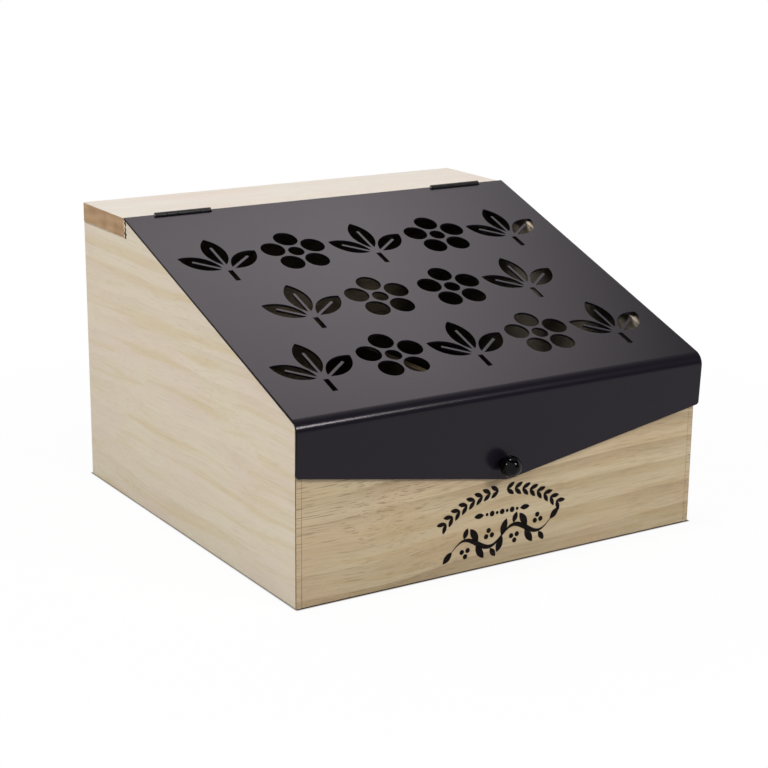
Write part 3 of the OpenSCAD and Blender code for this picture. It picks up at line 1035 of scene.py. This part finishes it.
@dataclass
class Studio:
    """Floor, backdrop, lamps and camera."""

    camera_place: Triple = (-0.4802, -0.7599, 0.3135)
    camera_azimuth: float = 32.37
    camera_fall: float = 15.82
    camera_roll: float = 0.57
    camera_lens: float = 88.13
    ambient: float = 0.25
    footprint: Pair = (109.6 * MM, 107.55 * MM)
    contact: float = 1.8 * MM
    contact_shadow_tone: Colour = srgb(60, 52, 46)
    floor_tone: Colour = (0.86, 0.86, 0.86, 1.0)
    floor_half: float = 6.0
    whitening: Pair = (0.15, 0.40)
    whiteness: Pair = (0.95, 1.0)
    screen_height: float = 0.44
    screen_strength: float = 2.85
    screen_tint: Colour = (1.0, 0.935, 0.955, 1.0)
    screen_across: tuple[Pair, ...] = (
        (0.03, 1.0), (0.12, 0.97), (0.20, 1.0), (0.24, 0.97), (0.28, 0.79), (0.32, 0.67), (0.35, 0.57),
        (0.37, 0.48), (0.39, 0.41), (0.41, 0.36), (0.43, 0.30), (0.45, 0.20), (0.50, 0.06))
    screen_back: tuple[Pair, ...] = (
        (-0.33, 0.0), (-0.19, 0.08), (-0.06, 0.28), (0.06, 0.50), (0.10, 0.95), (0.13, 0.95),
        (0.16, 0.94), (0.19, 0.97), (0.22, 1.0), (0.25, 0.97), (0.28, 0.95), (0.315, 0.95))
    softbox_aim: Triple = (0.0, 0.0, 0.07)
    flag_aim: Triple = (0.0, 0.0, 0.1)
    softboxes: tuple[Softbox, ...] = (
        Softbox("lamp_left", (-1.36, 0.0, 0.853), 0.30, 10.3),
        Softbox("lamp_over", (-0.10, 0.05, 1.64), 0.30, 8.1),
        Softbox("lamp_right", (0.60, -1.32, 0.955), 0.26, 11.3))
    flags: tuple[Flag, ...] = (
        Flag("flag_over", (0.2, -0.3, 2.3), 1.5), Flag("flag_front", (1.25, -2.0, 0.4), 0.9),
        Flag("flag_side", (1.75, 0.7, 1.45), 0.5), Flag("flag_corner", (1.55, -1.21, 1.64), 0.75))

    def build_camera(self) -> None:
        """Sets up the camera."""
        data = bpy.data.cameras.new("camera")
        data.lens = self.camera_lens
        camera = add_object("camera", data)
        azimuth, fall = math.radians(self.camera_azimuth), math.radians(self.camera_fall)
        ahead = Vector((math.sin(azimuth) * math.cos(fall), math.cos(azimuth) * math.cos(fall),
                        -math.sin(fall)))
        camera.rotation_mode = "QUATERNION"
        camera.rotation_quaternion = ahead.to_track_quat("-Z", "Y") @ Quaternion(
            (0, 0, 1), math.radians(self.camera_roll))
        camera.location = self.camera_place
        bpy.context.scene.camera = camera

    def hang(self, thing: Object, place: Triple, aim: Triple, front: str) -> None:
        """Hangs a lamp or a plane at a place and turns it to a point.

        Args:
            thing: the lamp or plane.
            place: where it hangs.
            aim: the point.
            front: which of its own axes points there.
        """
        thing.location = place
        thing.rotation_mode = "QUATERNION"
        thing.rotation_quaternion = (Vector(aim) - Vector(place)).to_track_quat(front, "Y")

    def build_lamps(self) -> None:
        """Hangs the softboxes."""
        for box in self.softboxes:
            data = bpy.data.lights.new(box.name, "AREA")
            data.size = box.side
            data.energy = box.power
            lamp = add_object(box.name, data)
            lamp.visible_camera = False
            self.hang(lamp, box.place, self.softbox_aim, "-Z")

    def build_world(self) -> None:
        """Lights the scene evenly, with a white background where the camera or a reflection sees it."""
        world = bpy.data.worlds.new("studio")
        bpy.context.scene.world = world
        tree = fresh_tree(world)
        soft = tree.add("Background", {"Color": WHITE, "Strength": self.ambient})
        white = tree.add("Background", {"Color": WHITE})
        both = tree.add("MixShader", {0: tree.seen(), 1: soft.outputs[0], 2: white.outputs[0]})
        tree.add("OutputWorld", {"Surface": both.outputs[0]})

    def stage_plane(self, name: str, material: Material, half: float) -> Object:
        """Adds a square plane of the stage.

        Args:
            name: the plane's name.
            material: its material.
            half: half its side in metres.

        Returns:
            The plane.
        """
        bm = bmesh.new()
        bmesh.ops.create_grid(bm, x_segments=1, y_segments=1, size=half)
        plane = mesh_object(bm, name, [material])
        return plane

    def hide(self, plane: Object) -> None:
        """Keeps a plane from everything but reflections."""
        for sight in ("camera", "diffuse", "transmission", "volume_scatter", "shadow"):
            setattr(plane, "visible_" + sight, False)

    def build_flags(self) -> None:
        """Hangs the black flags, which only reflections see."""
        black, tree = fresh_material("flag_black")
        cloth = tree.add("BsdfDiffuse", {"Color": (0.004, 0.004, 0.004, 1.0)})
        tree.add("OutputMaterial", {"Surface": cloth.outputs[0]})
        for flag in self.flags:
            plane = self.stage_plane(flag.name, black, flag.half)
            self.hang(plane, flag.place, self.flag_aim, "Z")
            self.hide(plane)

    def build_screen(self) -> None:
        """Hangs the glowing screen over the lid; only reflections see it, and it fades to right and front."""
        glowing, tree = fresh_material("screen_glow")
        place = tree.add("SeparateXYZ", {0: tree.add("TexCoord").outputs["Object"]}).outputs
        level = [tree.ramp(tree.maths("ADD", part, 0.5), stops)
                 for part, stops in zip(place, (self.screen_across, self.screen_back))]
        glow = tree.times(tree.times(*level), self.screen_strength)
        light = tree.add("Emission", {"Color": self.screen_tint, "Strength": glow})
        tree.add("OutputMaterial", {"Surface": light.outputs[0]})
        screen = self.stage_plane("sheen_screen", glowing, 0.5)
        (left, right), (front, back) = [(stops[0][0], stops[-1][0])
                                        for stops in (self.screen_across, self.screen_back)]
        screen.location = ((left + right) / 2, (front + back) / 2, self.screen_height)
        screen.scale = (right - left, back - front, 1.0)
        self.hide(screen)

    def build_floor(self) -> None:
        """Lays the pale floor, which looks white, keeps the case's shadow and carries a painted contact
        shadow along the case's foot.
        """
        pale, tree = fresh_material("pale_floor")
        place = tree.add("TexCoord").outputs["Object"]
        outside = tree.vector_maths("SUBTRACT", tree.vector_maths("ABSOLUTE", place),
                                    (*self.footprint, 0.0))
        gap = tree.vector_maths("LENGTH", tree.vector_maths("MAXIMUM", outside, (0.0, 0.0, 0.0)))
        # Painted contact shadow: the floor that the camera sees darkens within a short gap of the case's
        # footprint.
        clear = tree.between(gap, 0.0, self.contact)
        unseen = tree.maths("SUBTRACT", 1.0, tree.add("LightPath").outputs["Is Camera Ray"])
        tone = tree.mix(tree.maths("MAXIMUM", clear, unseen), self.contact_shadow_tone, self.floor_tone)
        plain = tree.add("BsdfDiffuse", {"Color": tone})
        white = tree.add("Emission", {"Color": WHITE})
        away = tree.vector_maths("LENGTH", place)
        cover = tree.times(tree.between(away, *self.whitening, *self.whiteness), clear)
        both = tree.add("MixShader", {0: tree.times(tree.seen(), cover), 1: plain.outputs[0],
                                      2: white.outputs[0]})
        tree.add("OutputMaterial", {"Surface": both.outputs[0]})
        self.stage_plane("floor", pale, self.floor_half)

    def build(self) -> None:
        """Builds the whole studio."""
        self.build_camera()
        self.build_lamps()
        self.build_world()
        self.build_floor()
        self.build_flags()
        self.build_screen()
        bpy.context.scene.view_settings.view_transform = "Standard"


def main() -> None:
    """Builds the studio and every sub-assembly in order."""
    logging.basicConfig(level=logging.INFO, format="%(name)s %(message)s")
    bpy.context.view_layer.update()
    Studio().build()
    for part in (WoodenCase(), PlyPanels(), FrontPrint(), MetalLid(), Ironmongery()):
        log.info("building %s", type(part).__name__)
        part.build()


if __name__ == "__main__":
    main()
